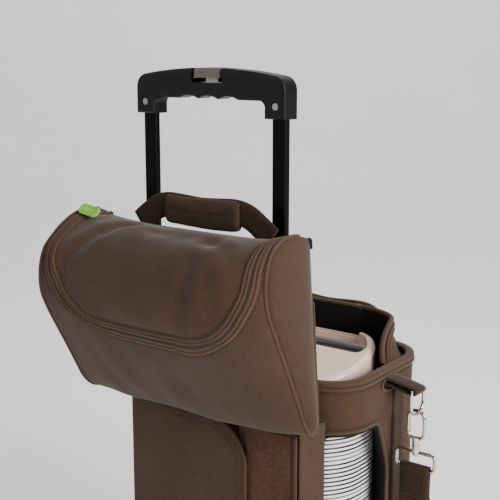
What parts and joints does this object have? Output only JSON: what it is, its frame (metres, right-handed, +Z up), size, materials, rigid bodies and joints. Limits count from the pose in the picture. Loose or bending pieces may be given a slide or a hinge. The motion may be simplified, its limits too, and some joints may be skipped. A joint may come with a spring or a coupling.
{
  "type": "portable oxygen concentrator",
  "caption": "Portable oxygen concentrator in a soft carrying case on a wheeled trolley with a telescopic handle, an accessory pouch and a shoulder strap.",
  "frame": {"origin": "on the floor, under the middle of the whole object's box", "axes": "+X along the handle bar to the right, +Y from the pouch to the case, +Z up"},
  "size_m": [0.396, 0.3486, 0.68],
  "materials": {
    "trolley": "moulded, fine texture",
    "grip_plastic": "satin",
    "tube_metal": "satin black",
    "steel": "plain",
    "chrome": "polished",
    "rubber": "matt",
    "button_grey": "satin",
    "case_fabric": "woven, coated back",
    "case_binding": "woven tape",
    "pouch_fabric": "woven, slight sheen",
    "webbing": "ribbed webbing",
    "hook_loop": "loop pile",
    "zip_pull_green": "soft touch",
    "unit_plastic": "gloss",
    "bar_silver": "satin silver",
    "louvre_white": "gloss",
    "panel_dark": "gloss",
    "button_blue": "satin",
    "brass": "plain",
    "battery_case": "satin",
    "motor_metal": "cast",
    "canister": "drawn",
    "board_green": "solder mask",
    "filter_foam": "open foam"
  },
  "bodies": {
    "base": {"trolley_base": "trolley", "wheel_axle": "steel", "front_feet": "rubber", "outer_tubes": "tube_metal", "tube_brace": "trolley", "case_shell": "case_fabric", "case_piping": "case_binding", "tube_sleeve": "case_fabric", "ring_tabs": "webbing", "shoulder_strap": "webbing", "shoulder_pad": "case_fabric", "pouch_body": "pouch_fabric", "pouch_straps": "webbing"},
    "middle_stage": {"middle_tubes": "tube_metal", "middle_collars": "grip_plastic"},
    "handle": {"inner_tubes": "tube_metal", "grip_upper": "grip_plastic", "grip_lower": "grip_plastic", "grip_end_caps": "grip_plastic", "grip_screws": "steel", "button_spring": "steel"},
    "button": {"release_button": "button_grey", "push_rods": "steel"},
    "wheel_right": {"wheel_right": "trolley"},
    "wheel_left": {"wheel_left": "trolley"},
    "left_flap": {"left_flap": "case_fabric"},
    "right_flap": {"right_flap": "case_fabric", "loop_patch": "hook_loop"},
    "top_flap": {"top_flap": "case_fabric"},
    "pouch_lid": {"pouch_lid": "pouch_fabric", "lid_zipper": "case_binding"},
    "zipper_pull": {"zipper_pull": "zip_pull_green"},
    "pouch_handle": {"pouch_handle": "webbing", "handle_wrap": "pouch_fabric"},
    "unit": {"unit_shell": "unit_plastic", "intake_grille": "louvre_white", "unit_top_cover": "unit_plastic", "carry_bar": "bar_silver", "control_panel": "panel_dark", "cannula_nozzle": "brass", "power_inlet": "panel_dark", "battery": "battery_case", "compressor": "motor_metal", "sieve_beds": "canister", "valve_block": "motor_metal", "circuit_board": "board_green", "intake_filter": "filter_foam"},
    "power_button": {"power_button": "button_blue"},
    "flow_button": {"flow_button": "button_blue"},
    "fan": {"fan": "battery_case"},
    "ring_right": {"strap_ring_right": "chrome"},
    "frame_right": {"strap_frame_right": "chrome", "strap_end_right": "webbing"},
    "hook_right": {"snap_hook_right": "chrome"},
    "gate_right": {"hook_gate_right": "chrome"},
    "ring_left": {"strap_ring_left": "chrome"},
    "frame_left": {"strap_frame_left": "chrome", "strap_end_left": "webbing"},
    "hook_left": {"snap_hook_left": "chrome"},
    "gate_left": {"hook_gate_left": "chrome"}
  },
  "joints": [
    {"name": "middle_stage", "type": "slide", "parent": "base", "child": "middle_stage", "axis": [0, 0, 1], "range_m": [0, 0.24]},
    {"name": "handle", "type": "slide", "parent": "middle_stage", "child": "handle", "axis": [0, 0, 1], "range_m": [-0.215, 0]},
    {"name": "button", "type": "slide", "parent": "handle", "child": "button", "axis": [0, 0, 1], "range_m": [-0.004, 0], "stiffness_N_per_m": 900, "springref_m": 0.002},
    {"name": "wheel_right", "type": "hinge", "parent": "base", "child": "wheel_right", "pos_m": [0.12, -0.0583, 0.045], "axis": [1, 0, 0], "continuous": true},
    {"name": "wheel_left", "type": "hinge", "parent": "base", "child": "wheel_left", "pos_m": [-0.12, -0.0583, 0.045], "axis": [1, 0, 0], "continuous": true},
    {"name": "left_flap", "type": "hinge", "parent": "base", "child": "left_flap", "pos_m": [-0.114, -0.0633, 0.21], "axis": [0, 0, 1], "range_deg": [-150, 0]},
    {"name": "right_flap", "type": "hinge", "parent": "base", "child": "right_flap", "pos_m": [0.114, -0.0633, 0.21], "axis": [0, 0, 1], "range_deg": [0, 150]},
    {"name": "top_flap", "type": "hinge", "parent": "base", "child": "top_flap", "pos_m": [0, 0.1622, 0.404], "axis": [-1, 0, 0], "range_deg": [-266, 0]},
    {"name": "pouch_lid", "type": "hinge", "parent": "base", "child": "pouch_lid", "pos_m": [0, -0.0863, 0.518], "axis": [-1, 0, 0], "range_deg": [0, 70]},
    {"name": "zipper_pull", "type": "hinge", "parent": "pouch_lid", "child": "zipper_pull", "pos_m": [-0.133, -0.1183, 0.5306], "axis": [0, -1, 0], "range_deg": [0, 80]},
    {"name": "pouch_handle", "type": "hinge", "parent": "base", "child": "pouch_handle", "pos_m": [0, -0.0763, 0.5175], "axis": [-1, 0, 0], "range_deg": [-24, 0], "stiffness_Nm_per_rad": 0.6},
    {"name": "unit", "type": "slide", "parent": "base", "child": "unit", "axis": [0, 0, 1], "range_m": [0, 0.33]},
    {"name": "power_button", "type": "slide", "parent": "unit", "child": "power_button", "axis": [0, 0, 1], "range_m": [-0.0015, 0], "stiffness_N_per_m": 800, "springref_m": 0.001},
    {"name": "flow_button", "type": "slide", "parent": "unit", "child": "flow_button", "axis": [0, 0, 1], "range_m": [-0.0015, 0], "stiffness_N_per_m": 800, "springref_m": 0.001},
    {"name": "fan", "type": "hinge", "parent": "unit", "child": "fan", "pos_m": [0.034, 0.0537, 0.196], "axis": [1, 0, 0], "continuous": true},
    {"name": "frame_right", "type": "hinge", "parent": "base", "child": "frame_right", "pos_m": [0.173, 0.0687, 0.3435], "axis": [0, -1, 0], "range_deg": [-3, 15]},
    {"name": "ring_right", "type": "hinge", "parent": "base", "child": "ring_right", "pos_m": [0.173, 0.0687, 0.3435], "axis": [0, -1, 0], "range_deg": [-3, 15]},
    {"name": "hook_right", "type": "hinge", "parent": "frame_right", "child": "hook_right", "pos_m": [0.173, 0.0687, 0.2778], "axis": [0, 0, 1], "range_deg": [-10, 10]},
    {"name": "gate_right", "type": "hinge", "parent": "hook_right", "child": "gate_right", "pos_m": [0.1635, 0.0687, 0.2972], "axis": [0, 1, 0], "range_deg": [0, 22], "stiffness_Nm_per_rad": 0.02, "springref_deg": -5.73},
    {"name": "frame_left", "type": "hinge", "parent": "base", "child": "frame_left", "pos_m": [-0.173, 0.0687, 0.3435], "axis": [0, 1, 0], "range_deg": [-3, 15]},
    {"name": "ring_left", "type": "hinge", "parent": "base", "child": "ring_left", "pos_m": [-0.173, 0.0687, 0.3435], "axis": [0, 1, 0], "range_deg": [-3, 15]},
    {"name": "hook_left", "type": "hinge", "parent": "frame_left", "child": "hook_left", "pos_m": [-0.173, 0.0687, 0.2778], "axis": [0, 0, -1], "range_deg": [-10, 10]},
    {"name": "gate_left", "type": "hinge", "parent": "hook_left", "child": "gate_left", "pos_m": [-0.1635, 0.0687, 0.2972], "axis": [0, -1, 0], "range_deg": [0, 22], "stiffness_Nm_per_rad": 0.02, "springref_deg": -5.73}
  ],
  "couplings": [
    {"joint": "right_flap", "follows": "left_flap", "ratio": -1},
    {"joint": "ring_right", "follows": "frame_right", "ratio": 1},
    {"joint": "ring_left", "follows": "frame_left", "ratio": 1}
  ]
}
